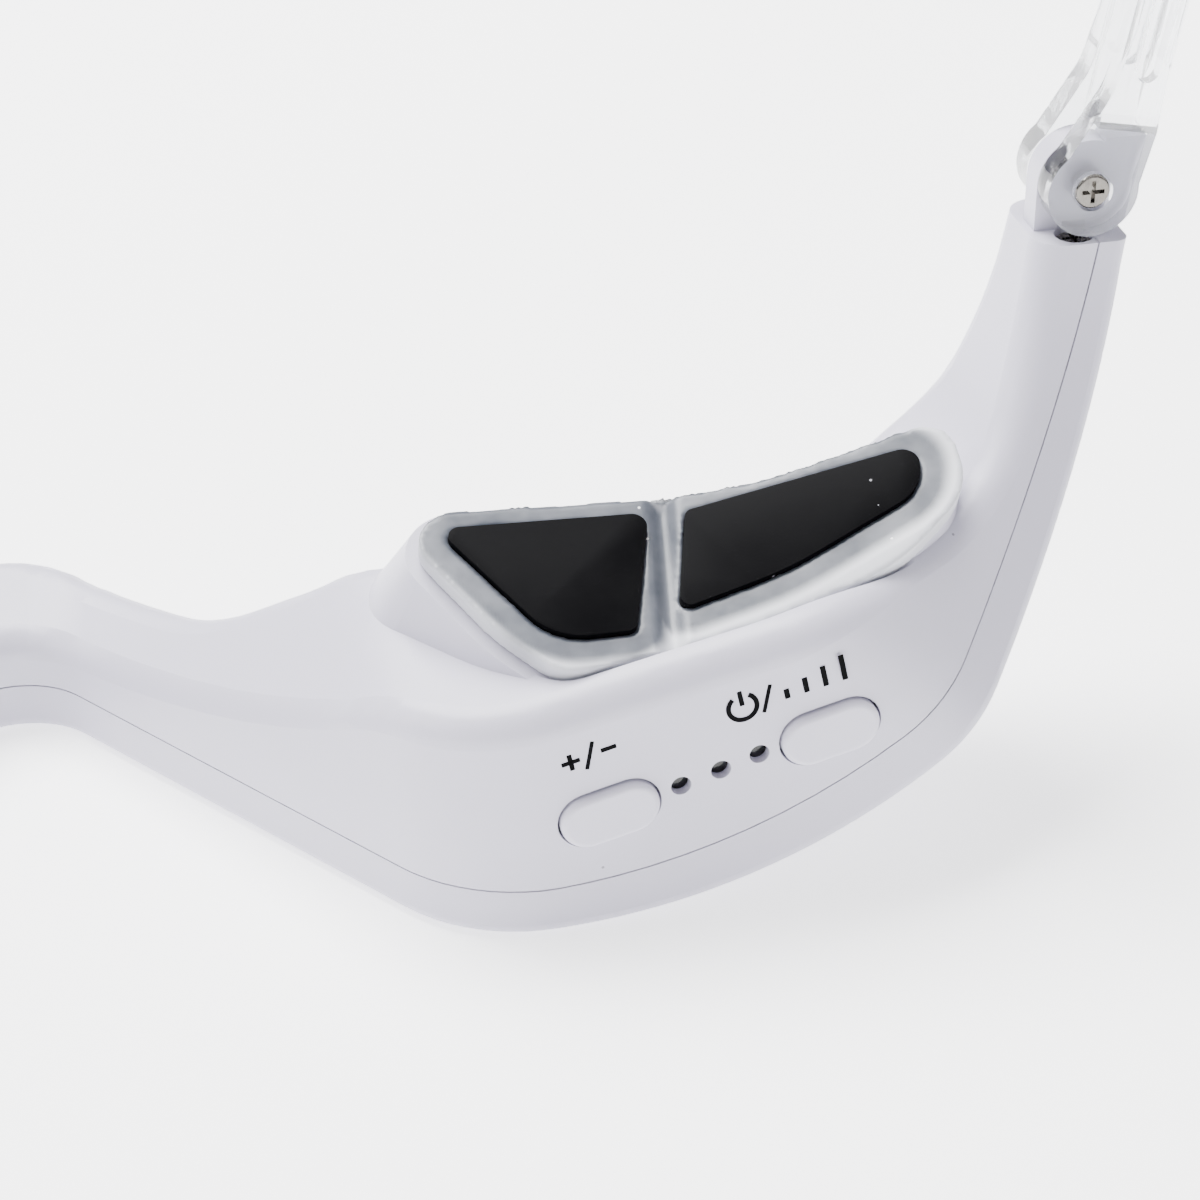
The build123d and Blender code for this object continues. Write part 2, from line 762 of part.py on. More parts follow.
def button(centre):
    """Pillow-shaped key with a retaining flange behind the wall and a stem to its switch."""
    with BuildPart() as key:
        with BuildSketch(control_wall.offset(flange_start)):
            with Locations(centre):
                button_shape(0)
        extrude(amount=button_proud - flange_start)
        rim = key.faces().sort_by(Axis(control_wall.origin, control_wall.z_dir))[-1].edges()
        fillet(rim, button_proud * 0.8)
        with BuildSketch(control_wall.offset(flange_start)):
            with Locations(centre):
                button_shape(flange_rim)
        extrude(amount=-button_flange)
        with BuildSketch(control_wall.offset(flange_start)):
            with Locations(centre):
                Circle(stem_radius)
        extrude(amount=stem_end - flange_start)
    return key.part


def tact_switch(centre):
    """Square switch on the board with a round plunger under the button's stem."""
    with BuildPart() as body:
        add(slab(control_wall, centre, switch_size, switch_size, switch_height, -board_depth))
        with BuildSketch(control_wall.offset(-board_depth + switch_height)):
            with Locations(centre):
                Circle(plunger_radius)
        extrude(amount=plunger_height)
    return body.part


level_key = button(level_button_at)
mode_key = button(mode_button_at)
level_switch_body = tact_switch(level_button_at)
mode_switch_body = tact_switch(mode_button_at)
lamp_blocks = [
    slab(control_wall, centre, lamp_size, lamp_size, lamp_height, -board_depth)
    for centre in lamp_holes
]

with BuildPart() as level_button:
    add(level_key)

with BuildPart() as mode_button:
    add(mode_key)

with BuildPart() as level_switch:
    add(level_switch_body)

with BuildPart() as mode_switch:
    add(mode_switch_body)

with BuildPart() as light_guide:
    guide_end = -board_depth + lamp_height + 0.1
    with BuildSketch(control_wall.offset(-guide_recess)):
        with Locations(*lamp_holes):
            Circle(lamp_hole_radius - guide_clearance)
    extrude(amount=guide_end + guide_recess)
    first = lamp_holes[0]
    last = lamp_holes[-1]
    run = (last[0] - first[0], last[1] - first[1])
    with BuildSketch(control_wall.offset(-wall - 0.05)):
        with Locations(((first[0] + last[0]) / 2, (first[1] + last[1]) / 2)):
            SlotCenterToCenter(
                (run[0] ** 2 + run[1] ** 2) ** 0.5,
                2 * (lamp_hole_radius - guide_clearance),
                rotation=degrees(atan2(run[1], run[0])),
            )
    extrude(amount=-1.0)

with BuildPart() as status_lamps:
    add(lamp_blocks)

with BuildPart() as control_board:
    with BuildSketch(control_wall.offset(-board_depth)):
        with BuildLine():
            Polyline(board_outline, close=True)
        make_face()
        with Locations(*board_post_at):
            Circle(screw_radius + screw_clearance, mode=Mode.SUBTRACT)
    extrude(amount=-board_thickness)

board_back = -board_depth - board_thickness
chip_at = (43.0, 9.0)
coil_at = (45.2, 14.2)
board_screw_bodies = []
for centre in board_post_at:
    place = control_wall.from_local_coords((centre[0], centre[1], board_back))
    inward = tuple(-v for v in wall_normal)
    board_screw_bodies.append(
        screw(Plane(origin=place, x_dir=(0, 0, 1), z_dir=inward), screw_head_radius,
              screw_head_height, screw_radius, board_screw_length)
    )
chip_block = slab(control_wall, chip_at, chip_size, chip_size, -chip_height, board_back)

with BuildPart() as board_screws:
    add(board_screw_bodies)

with BuildPart() as control_chip:
    add(chip_block)

with BuildPart() as boost_coil:
    with BuildSketch(control_wall.offset(board_back)):
        with Locations(coil_at):
            Circle(coil_radius)
    extrude(amount=-coil_height)

# ---- 5. Battery and charging board in the left half ----
battery_top = ceiling_z - battery_gap
battery_block = slab(Plane.XY, battery_at, battery_size[0], battery_size[1], battery_size[2],
                     battery_top - battery_size[2])

with BuildPart() as battery:
    add(battery_block)
    fillet(battery.edges().filter_by(Axis.X), battery_size[2] * 0.3)

with BuildPart() as battery_tape:
    with BuildSketch(Plane.XY.offset(battery_top)):
        with Locations(battery_at):
            Rectangle(*tape_size)
    extrude(amount=battery_gap)

with BuildPart() as charging_socket:
    with BuildSketch(socket_wall_plane.offset(-socket_recess)):
        with Locations((socket_x, socket_z)):
            SlotOverall(socket_width, socket_height)
            SlotOverall(socket_width - 2 * socket_wall, socket_height - 2 * socket_wall,
                        mode=Mode.SUBTRACT)
    extrude(amount=-socket_length)
    with BuildSketch(socket_wall_plane.offset(-socket_recess - socket_length + 1)):
        with Locations((socket_x, socket_z)):
            SlotOverall(socket_width - 0.2, socket_height - 0.2)
    extrude(amount=-1)
    with BuildSketch(socket_wall_plane.offset(-socket_recess - socket_length + 1)):
        with Locations((socket_x, socket_z)):
            Rectangle(socket_width * 0.72, 0.7)
    extrude(amount=socket_length - 2.0)

with BuildPart() as charge_board:
    with BuildSketch(socket_wall_plane.offset(-charge_board_start)):
        with Locations((socket_x, board_top_z - board_thickness / 2)):
            Rectangle(charge_board_size[0], board_thickness)
    extrude(amount=-charge_board_size[1])
    with BuildSketch(Plane.XY.offset(board_top_z + 1)):
        with Locations(*charge_posts_at):
            Circle(screw_radius + screw_clearance)
    extrude(amount=-board_thickness - 2, mode=Mode.SUBTRACT)

charge_screw_bodies = [
    screw(Plane(origin=(x, y, board_top_z)), screw_head_radius, screw_head_height,
          screw_radius, charge_screw_length)
    for x, y in charge_posts_at
]

with BuildPart() as charge_board_screws:
    add(charge_screw_bodies)

charge_chip_at = socket_point(socket_x, charge_board_start + charge_board_size[1] - 1.4)
charge_chip_block = slab(Plane.XY, charge_chip_at, 3.0, 2.0, chip_height, board_top_z)

with BuildPart() as charge_chip:
    add(charge_chip_block)


# ---- 6. Leads inside the frame ----
def lead(points, radius):
    """Round lead along straight runs joined by the largest arcs that the runs allow."""
    stops = [Vector(*point) for point in points]
    bends = []
    for before, at, after in zip(stops, stops[1:], stops[2:]):
        turn = (at - before).get_angle(after - at)
        shorter = min((at - before).length, (after - at).length)
        bends.append(0.45 * shorter / tan(radians(turn / 2)))
    with BuildPart() as tube:
        with BuildLine() as route:
            if bends:
                FilletPolyline(*stops, radius=bends)
            else:
                Line(*stops)
        with BuildSketch(Plane(origin=stops[0], z_dir=stops[1] - stops[0])):
            Circle(radius)
        sweep()
    length = sum(edge.length for edge in route.line.edges())
    print("lead", round(length, 1), "mm long, radii", [round(bend, 1) for bend in bends],
          "volume ratio", round(tube.part.volume / (3.14159 * radius ** 2 * length), 4))
    return tube.part


board_lead_end = control_wall.from_local_coords((32.6, 9.6, board_back - cable_radius - 0.02))
power_route = [
    (-39.5, -26.2, board_top_z + cable_radius + 0.12),
    (-34.0, -22.2, 6.9), (-24.5, -21.6, 4.0), (-17.4, -17.4, 2.7), (-10.6, -9.2, 2.6),
    (-4.2, -0.3, 2.6), (4.2, -0.3, 2.6), (10.6, -9.2, 2.6), (17.4, -17.4, 2.9),
    (24.0, -25.0, 4.9), (28.6, -28.9, 7.6),
    (board_lead_end.X, board_lead_end.Y, board_lead_end.Z),
]


def pin_tail_point(stud, side, drop=0.0):
    """Start of a lead just under a contact pin's tail."""
    tail_z = ceiling_z - pin_tail - pad_origin[2]
    bottom = (tail_z - stud[1] * sin(radians(pad_tilt))) / cos(radians(pad_tilt))
    tail = pad_face.from_local_coords((stud[0], stud[1], bottom))
    return (side * tail.X, tail.Y, tail.Z - thread_radius - 0.02 - drop)


board_top_left = control_wall.from_local_coords((32.4, 13.8, board_back - thread_radius - 0.02))
board_top_right = control_wall.from_local_coords((32.4, 12.0, board_back - thread_radius - 0.02))
outer_left_route = [
    pin_tail_point(outer_stud, -1), (-49.6, -21.8, 15.8), (-40.0, -22.0, 15.6),
    (-29.2, -21.2, 11.8), (-19.4, -17.6, 6.2), (-11.1, -9.5, 4.3), (-4.2, 0.15, 4.2),
    (4.2, 0.15, 4.2), (11.1, -9.5, 4.3), (18.6, -17.9, 5.6), (26.4, -25.4, 10.0),
    (board_top_left.X, board_top_left.Y, board_top_left.Z),
]
inner_left_route = [
    pin_tail_point(inner_stud, -1), (-33.8, -22.6, 14.2), (-26.6, -22.2, 9.4),
    (-18.0, -18.6, 5.0), (-10.3, -10.1, 4.2), (-3.7, -0.95, 4.2), (3.7, -0.95, 4.2),
    (10.3, -10.1, 4.2), (17.6, -18.6, 4.9), (25.4, -26.6, 8.4),
    (board_top_right.X, board_top_right.Y, board_top_right.Z),
]
tail_drop = pin_radius * sin(radians(pad_tilt))  # the slanted pin ends lower on one side
board_edge_inner = control_wall.from_local_coords((38.4, 15.0, board_back - 0.1))
board_edge_outer = control_wall.from_local_coords((54.6, 15.0, board_back - 0.1))
inner_right_route = [pin_tail_point(inner_stud, 1, tail_drop), tuple(board_edge_inner)]
outer_right_route = [pin_tail_point(outer_stud, 1, tail_drop), tuple(board_edge_outer)]
power_lead_body = lead(power_route, cable_radius)
left_threads = [lead(outer_left_route, thread_radius), lead(inner_left_route, thread_radius)]
right_threads = [lead(inner_right_route, thread_radius), lead(outer_right_route, thread_radius)]
battery_lead_top = battery_top - battery_size[2] - 0.02
battery_threads = [
    lead([(x, -27.8, battery_lead_top), (x, -27.8, board_top_z + 0.02)], thread_radius)
    for x in (-42.7, -41.3)
]

with BuildPart() as power_cable:
    add(power_lead_body)

with BuildPart() as pad_leads_left:
    add(left_threads)

with BuildPart() as pad_leads_right:
    add(right_threads)

with BuildPart() as battery_leads:
    add(battery_threads)

# ---- 7. Screws that hold the frame together ----
case_screw_bodies = [
    screw(Plane(origin=(x, y, head_seat_z)), screw_head_radius, screw_head_height,
          screw_radius, case_screw_length)
    for x, y in screw_sides
]
end_screw_bodies = [
    screw(Plane(origin=(x, y, end_seat_z)), end_head_radius, screw_head_height,
          screw_radius, end_screw_length)
    for x, y in end_screws_at
]

with BuildPart() as case_screws:
    add(case_screw_bodies)

with BuildPart() as end_screws:
    add(end_screw_bodies)

# ---- 8. Temples and their hinge screws ----
lean_x = cos(radians(wrap_angle))              # direction of the arm's straight end
lean_z = sin(radians(wrap_angle))
start_outer_x = outer_corner_x + temple_start_z * side_lean
temple_middle_y = (hinge_low_y + hinge_high_y) / 2
temple_top_z = temple_start_z + temple_straight
hook_corner = temple_hook_radius * tan(radians(temple_hook_angle / 2))
hook_lean = radians(temple_hook_angle)
hook_end = (
    temple_middle_y - (hook_corner + temple_tip) * sin(hook_lean),
    temple_top_z + hook_corner + (hook_corner + temple_tip) * cos(hook_lean),
)


def along_temple(distance, depth):
    """X and Z at a distance along the temple's leaning part and a depth from its outer face."""
    return (start_outer_x + distance * lean_x - depth * lean_z,
            temple_start_z + distance * lean_z + depth * lean_x)


bow_turn = radians(temple_bow_turn)
bow_corner = along_temple(temple_lean_length, temple_thickness / 2)
inward_lean = radians(90 - wrap_angle) - bow_turn
bow_end = (bow_corner[0] + 120 * sin(inward_lean), bow_corner[1] + 120 * cos(inward_lean))

with BuildPart() as right_temple_bar:
    with BuildSketch(Plane.YZ):
        with BuildLine():
            FilletPolyline(
                (temple_middle_y, temple_start_z),
                (temple_middle_y, temple_top_z + hook_corner),
                hook_end, radius=temple_hook_radius,
            )
        trace(line_width=temple_width)
    extrude(amount=200)
    with BuildSketch(Plane.XZ):
        with BuildLine():
            FilletPolyline(along_temple(-3, temple_thickness / 2), bow_corner, bow_end,
                           radius=temple_bow_radius)
        trace(line_width=temple_thickness)
    extrude(amount=100, both=True, mode=Mode.INTERSECT)
    tip_edges = right_temple_bar.edges().filter_by(
        lambda e: e.bounding_box().size.Y < 0.01 and (e @ 0.5).Z > temple_top_z
        and e.bounding_box().size.X < temple_thickness * 1.2 and e.length < temple_thickness * 1.2
    )
    fillet(tip_edges, temple_width * 0.48)
    long_edges = right_temple_bar.edges().filter_by(
        lambda e: (e @ 0.5).Z > temple_start_z + 1 and e.bounding_box().size.Z > 1
    )
    fillet(long_edges, temple_edge_radius)

ear_lows = (hinge_low_y, hinge_high_y - ear_width)
groove_length = temple_lean_length - groove_start

with BuildPart() as temple_right:
    add(right_temple_bar.part)
    for ear_low in ear_lows:
        with BuildSketch(Plane.XZ.offset(-ear_low)):
            with Locations((hinge_x, hinge_z)):
                Circle(knuckle_radius)
            with BuildLine():
                FilletPolyline(
                    [(hinge_x + knuckle_radius * 0.995, hinge_z),
                     (hinge_x + knuckle_radius * 0.995, hinge_z + 0.3),
                     along_temple(0.5, 0), along_temple(8, 0.5),
                     along_temple(8, temple_thickness - 0.3),
                     along_temple(3.0, temple_thickness + 0.2),
                     (hinge_x - knuckle_radius * 0.64, hinge_z + knuckle_radius * 0.76),
                     (hinge_x, hinge_z)],
                    radius=[0, 0, 0, 0, 0, 5.0, 0, 0], close=True,
                )
            make_face()
        extrude(amount=-ear_width)
    for face_y, inward in ((hinge_low_y, 1), (hinge_high_y, -1)):
        with BuildSketch(Plane.XZ.offset(-face_y)):
            with Locations(along_temple(groove_start + groove_length / 2, temple_thickness / 2)):
                SlotOverall(groove_length, groove_width, rotation=wrap_angle)
        extrude(amount=-inward * groove_depth, mode=Mode.SUBTRACT)
    with BuildSketch(Plane.XZ.offset(-hinge_low_y)):
        with Locations((hinge_x, hinge_z)):
            Circle(hinge_head_radius + screw_clearance)
    extrude(amount=-hinge_head_height, mode=Mode.SUBTRACT)
    with BuildSketch(Plane.XZ.offset(-hinge_low_y)):
        with Locations((hinge_x, hinge_z)):
            Circle(hinge_screw_radius)
    extrude(amount=0.6 - temple_width, mode=Mode.SUBTRACT)
    with BuildSketch(Plane.XZ.offset(-hinge_low_y - ear_width)):
        with BuildLine():
            Polyline(along_temple(0, -2), along_temple(0, temple_thickness + 4),
                     along_temple(-12, temple_thickness + 4), along_temple(-12, -2), close=True)
        make_face()
    extrude(amount=-(temple_width - 2 * ear_width), mode=Mode.SUBTRACT)

hinge_seat = Plane(
    origin=(hinge_x, hinge_low_y + hinge_head_height, hinge_z), x_dir=(1, 0, 0), z_dir=(0, -1, 0)
)
hinge_screw_body = screw(hinge_seat, hinge_head_radius, hinge_head_height * 0.9,
                         hinge_screw_radius, temple_width - hinge_head_height - 0.6)

with BuildPart() as hinge_screw_right:
    add(hinge_screw_body)

with BuildPart() as temple_left:
    mirror(temple_right.part, about=Plane.YZ)

with BuildPart() as hinge_screw_left:
    mirror(hinge_screw_right.part, about=Plane.YZ)

# ---- Write every piece ----
pieces = {
    "rear_shell": rear_shell,
    "front_cover": front_cover,
    "silicone_pad_right": silicone_pad_right,
    "silicone_pad_left": silicone_pad_left,
    "electrode_inner_right": electrode_inner_right,
    "electrode_outer_right": electrode_outer_right,
    "electrode_inner_left": electrode_inner_left,
    "electrode_outer_left": electrode_outer_left,
    "contact_pins_right": contact_pins_right,
    "contact_pins_left": contact_pins_left,
    "level_button": level_button,
    "mode_button": mode_button,
    "level_switch": level_switch,
    "mode_switch": mode_switch,
    "light_guide": light_guide,
    "status_lamps": status_lamps,
    "control_board": control_board,
    "board_screws": board_screws,
    "control_chip": control_chip,
    "boost_coil": boost_coil,
    "battery": battery,
    "battery_tape": battery_tape,
    "charging_socket": charging_socket,
    "charge_board": charge_board,
    "charge_board_screws": charge_board_screws,
    "charge_chip": charge_chip,
    "power_cable": power_cable,
    "pad_leads_left": pad_leads_left,
    "pad_leads_right": pad_leads_right,
    "battery_leads": battery_leads,
    "case_screws": case_screws,
    "end_screws": end_screws,
    "temple_right": temple_right,
    "temple_left": temple_left,
    "hinge_screw_right": hinge_screw_right,
    "hinge_screw_left": hinge_screw_left,
}
os.makedirs("parts", exist_ok=True)
for name, piece in pieces.items():
    piece.part.label = name
    export_step(piece.part, f"parts/{name}.step")
print("hinge axis at", round(hinge_x, 3), round(hinge_z, 3), "temple from", round(hinge_low_y, 3),
      "to", round(hinge_high_y, 3))
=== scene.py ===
# %% [markdown]
# An under-eye massager, worn like a pair of glasses and lying on its front face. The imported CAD
# model is loaded as a fixed frame: the hard shells, keys, screws and temples keep their CAD
# meshes and get finishes here, and the soft pads, the electrodes' faces and the printed symbols
# are modelled on top. Everything is in metres, in the CAD model's own frame: X to the wearer's
# right, Y up the face and Z back towards the wearer.

# %% Load the frame
import math

import bpy
from mathutils import Matrix, Vector


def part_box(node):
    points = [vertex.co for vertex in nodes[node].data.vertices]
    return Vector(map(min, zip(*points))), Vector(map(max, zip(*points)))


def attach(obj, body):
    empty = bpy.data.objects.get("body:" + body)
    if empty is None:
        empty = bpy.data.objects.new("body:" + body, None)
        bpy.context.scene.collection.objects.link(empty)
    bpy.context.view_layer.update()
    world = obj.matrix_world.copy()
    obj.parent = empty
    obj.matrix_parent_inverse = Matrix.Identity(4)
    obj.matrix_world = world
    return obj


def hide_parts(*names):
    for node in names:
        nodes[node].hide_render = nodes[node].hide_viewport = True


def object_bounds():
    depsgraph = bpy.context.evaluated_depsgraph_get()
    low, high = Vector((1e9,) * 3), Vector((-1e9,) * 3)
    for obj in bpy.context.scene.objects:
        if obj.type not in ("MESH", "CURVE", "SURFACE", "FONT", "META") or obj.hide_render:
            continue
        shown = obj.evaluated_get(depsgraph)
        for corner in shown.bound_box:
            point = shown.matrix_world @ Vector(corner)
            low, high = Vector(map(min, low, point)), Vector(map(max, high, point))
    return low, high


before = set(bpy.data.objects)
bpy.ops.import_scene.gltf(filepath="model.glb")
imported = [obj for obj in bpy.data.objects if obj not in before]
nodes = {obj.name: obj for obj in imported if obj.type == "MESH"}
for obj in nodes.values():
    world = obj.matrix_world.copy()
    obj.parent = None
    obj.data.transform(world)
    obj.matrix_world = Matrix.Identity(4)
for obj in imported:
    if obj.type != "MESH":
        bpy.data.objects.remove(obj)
cad_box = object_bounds()
box_mm = [round(v * 1000, 1) for v in (*cad_box[0], *cad_box[1])]
print("loaded", len(nodes), "CAD nodes, box", box_mm, "mm")

# %% [markdown]
# Several finishes share the same small effects: fine moulding grain and dust specks. Each
# effect is a node group that gives out a mask or a value and is built once, so that every
# material can place it with its own numbers. All patterns read Object coordinates, because a
# finished piece's object sits at the origin and the pattern then stays on the surface.

# %% Helpers for materials
def new_material(name):
    """Material with a Principled shader; returns the material, its node tree and the shader."""
    material = bpy.data.materials.new(name)
    material.use_nodes = True
    tree = material.node_tree
    shader = tree.nodes["Principled BSDF"]
    return material, tree, shader


def group_tree(name, inputs, outputs):
    """Shader node group with named float inputs and named outputs."""
    tree = bpy.data.node_groups.new(name, "ShaderNodeTree")
    for title, default in inputs:
        socket = tree.interface.new_socket(title, in_out="INPUT", socket_type="NodeSocketFloat")
        socket.default_value = default
    for title in outputs:
        tree.interface.new_socket(title, in_out="OUTPUT", socket_type="NodeSocketFloat")
    return tree, tree.nodes.new("NodeGroupInput"), tree.nodes.new("NodeGroupOutput")


def object_coordinates(tree, stretch=None):
    """Object coordinates, each axis scaled by its share of the stretch if one is given."""
    coordinates = tree.nodes.new("ShaderNodeTexCoord").outputs["Object"]
    if stretch is None:
        return coordinates
    mapping = tree.nodes.new("ShaderNodeMapping")
    mapping.inputs["Scale"].default_value = stretch
    tree.links.new(coordinates, mapping.inputs["Vector"])
    return mapping.outputs["Vector"]


def noise(tree, vector, scale, detail=3.0, roughness=0.55):
    """Noise texture on the given coordinates; scale is in cycles per metre."""
    node = tree.nodes.new("ShaderNodeTexNoise")
    node.inputs["Scale"].default_value = scale
    node.inputs["Detail"].default_value = detail
    node.inputs["Roughness"].default_value = roughness
    tree.links.new(vector, node.inputs["Vector"])
    return node.outputs["Fac"]


def remap(tree, value, low, high, out_low, out_high):
    """Linear change of a value from the low-high range to the output range, clamped."""
    node = tree.nodes.new("ShaderNodeMapRange")
    tree.links.new(value, node.inputs["Value"])
    for title, number in (("From Min", low), ("From Max", high),
                          ("To Min", out_low), ("To Max", out_high)):
        node.inputs[title].default_value = number
    return node.outputs["Result"]


def mix_colour(tree, factor, first, second):
    """Colour that goes from the first to the second as the factor goes from 0 to 1."""
    node = tree.nodes.new("ShaderNodeMix")
    node.data_type = "RGBA"
    tree.links.new(factor, node.inputs["Factor"])
    for socket, value in ((node.inputs[6], first), (node.inputs[7], second)):
        if isinstance(value, tuple):
            socket.default_value = (*value, 1.0)
        else:
            tree.links.new(value, socket)
    return node.outputs[2]


def combine(tree, operation, first, second):
    """Math node on two values, each a socket or a number."""
    node = tree.nodes.new("ShaderNodeMath")
    node.operation = operation
    for socket, value in zip(node.inputs, (first, second)):
        if isinstance(value, (int, float)):
            socket.default_value = value
        else:
            tree.links.new(value, socket)
    return node.outputs["Value"]


def use_group(tree, group, values):
    """Places a shared group in a material with its own numbers."""
    node = tree.nodes.new("ShaderNodeGroup")
    node.node_tree = group
    for title, value in values.items():
        node.inputs[title].default_value = value
    return node.outputs


def bump(tree, shader, height, strength, distance):
    """Bump from a height value into the shader's normal."""
    node = tree.nodes.new("ShaderNodeBump")
    node.inputs["Strength"].default_value = strength
    node.inputs["Distance"].default_value = distance
    tree.links.new(height, node.inputs["Height"])
    tree.links.new(node.outputs["Normal"], shader.inputs["Normal"])


# %% [markdown]
# Two effects are shared. The grain group gives a height for the bump and a slow patch value for
# the tone. The specks group keeps only the cells of a Voronoi pattern whose random colour is
# bright, so that the specks are sparse.

# %% Shared effects
speck_share = 0.82               # cells whose random value is above this hold a speck


def build_grain():
    """Fine moulding grain and slow waves, as one height."""
    tree, given, out = group_tree("MouldedGrain", [("Grain scale", 2500.0), ("Wave scale", 60.0)],
                                  ["Height", "Patch"])
    coordinates = object_coordinates(tree)
    fine = tree.nodes.new("ShaderNodeTexNoise")
    fine.inputs["Detail"].default_value = 2.0
    tree.links.new(coordinates, fine.inputs["Vector"])
    tree.links.new(given.outputs["Grain scale"], fine.inputs["Scale"])
    slow = tree.nodes.new("ShaderNodeTexNoise")
    slow.inputs["Detail"].default_value = 3.0
    tree.links.new(coordinates, slow.inputs["Vector"])
    tree.links.new(given.outputs["Wave scale"], slow.inputs["Scale"])
    half = combine(tree, "MULTIPLY", slow.outputs["Fac"], 0.6)
    tree.links.new(combine(tree, "ADD", fine.outputs["Fac"], half), out.inputs["Height"])
    tree.links.new(slow.outputs["Fac"], out.inputs["Patch"])
    return tree


def build_specks():
    """Sparse dust specks: the middles of a few cells of a Voronoi pattern."""
    tree, given, out = group_tree("DustSpecks", [("Speck scale", 420.0), ("Speck size", 0.035)],
                                  ["Mask"])
    coordinates = object_coordinates(tree)
    cells = tree.nodes.new("ShaderNodeTexVoronoi")
    tree.links.new(coordinates, cells.inputs["Vector"])
    tree.links.new(given.outputs["Speck scale"], cells.inputs["Scale"])
    near = combine(tree, "LESS_THAN", cells.outputs["Distance"], given.outputs["Speck size"])
    channel = tree.nodes.new("ShaderNodeSeparateColor")
    tree.links.new(cells.outputs["Color"], channel.inputs["Color"])
    kept = combine(tree, "GREATER_THAN", channel.outputs[0], speck_share)
    tree.links.new(combine(tree, "MULTIPLY", near, kept), out.inputs["Mask"])
    return tree


grain_group = build_grain()
speck_group = build_specks()
print("shared effects:", grain_group.name, speck_group.name)

# %% [markdown]
# The shells and keys are injection-moulded white ABS with a satin surface. Real moulded plastic
# isn't one flat white: it has a fine spark-eroded grain, very slow sink waves, and a few dust
# specks from handling. The tone is slightly cool, as UV-stable white often is.

# %% White plastic
def moulded_plastic(name, colour, patch_colour, roughness, grain_scale=2600.0, depth=0.000006):
    """Satin moulded plastic with grain, slow tone changes and a few specks."""
    material, tree, shader = new_material(name)
    grain = use_group(tree, grain_group, {"Grain scale": grain_scale, "Wave scale": 55.0})
    specks = use_group(tree, speck_group, {"Speck scale": 260.0, "Speck size": 0.028})
    patch = remap(tree, grain["Patch"], 0.35, 0.65, 0.0, 1.0)
    base = mix_colour(tree, patch, colour, patch_colour)
    dark = tuple(v * 0.45 for v in colour)
    tree.links.new(mix_colour(tree, specks["Mask"], base, dark), shader.inputs["Base Color"])
    tree.links.new(remap(tree, grain["Patch"], 0.3, 0.7, roughness - 0.04, roughness + 0.05),
                   shader.inputs["Roughness"])
    shader.inputs["Specular IOR Level"].default_value = 0.45
    shader.inputs["Subsurface Weight"].default_value = 0.12
    shader.inputs["Subsurface Radius"].default_value = (1.0, 0.95, 1.0)
    shader.inputs["Subsurface Scale"].default_value = 0.0015
    bump(tree, shader, grain["Height"], 0.25, depth)
    return material


shell_white = moulded_plastic("ShellWhite", (0.57, 0.555, 0.645), (0.55, 0.535, 0.625), 0.36)
cover_white = moulded_plastic("CoverWhite", (0.55, 0.535, 0.625), (0.53, 0.515, 0.605), 0.36)
key_white = moulded_plastic("KeyWhite", (0.61, 0.595, 0.685), (0.59, 0.575, 0.665), 0.33)
switch_black = moulded_plastic("SwitchBlack", (0.03, 0.03, 0.033), (0.04, 0.04, 0.043), 0.45)
chip_black = moulded_plastic("ChipEpoxy", (0.025, 0.025, 0.028), (0.035, 0.035, 0.038), 0.55)
ferrite_grey = moulded_plastic("FerriteGrey", (0.06, 0.06, 0.065), (0.09, 0.09, 0.095), 0.6)
tape_foam = moulded_plastic("FoamTape", (0.03, 0.03, 0.033), (0.05, 0.05, 0.055), 0.9,
                            grain_scale=900.0, depth=0.00008)
lens_white = moulded_plastic("LampLens", (0.85, 0.85, 0.78), (0.80, 0.80, 0.74), 0.2)
print("plastics made")

# %% [markdown]
# The temples are clear polycarbonate. A clear moulding shows its mould flow as faint lengthwise
# ripples and picks up fine scratches. It is transmissive, so its Metallic and Transmission stay
# plain numbers, and only the roughness and the normal vary. An Alpha a little below 1 lets some
# light straight through, so that the white tongue between the hinge ears isn't in full shadow.
# The lamp windows use the same recipe, nearly black.

# %% Clear temples
def clear_plastic(name, tint, solid_share):
    """Clear polycarbonate with flow ripples along Z and fine scratches."""
    material, tree, shader = new_material(name)
    along_flow = object_coordinates(tree, (1.0, 1.0, 0.012))
    ripples = noise(tree, along_flow, 420.0, 2.0)
    scratches = noise(tree, along_flow, 3800.0, 4.0)
    shader.inputs["Base Color"].default_value = (*tint, 1.0)
    shader.inputs["Transmission Weight"].default_value = 1.0
    shader.inputs["IOR"].default_value = 1.5
    tree.links.new(remap(tree, scratches, 0.45, 0.75, 0.03, 0.14), shader.inputs["Roughness"])
    bump(tree, shader, ripples, 0.4, 0.0003)
    shader.inputs["Alpha"].default_value = solid_share
    return material


temple_clear = clear_plastic("TempleClear", (0.80, 0.815, 0.84), 0.88)
guide_smoke = clear_plastic("SmokedGuide", (0.02, 0.02, 0.022), 1.0)
print("clear plastics made")

# %% [markdown]
# The screws are nickel-plated steel, toned down because a pale studio would otherwise turn them
# white. All the metals share one recipe: a noise stretched along one axis gives the drawn or
# brushed lines, and a second noise gives small darker stains.

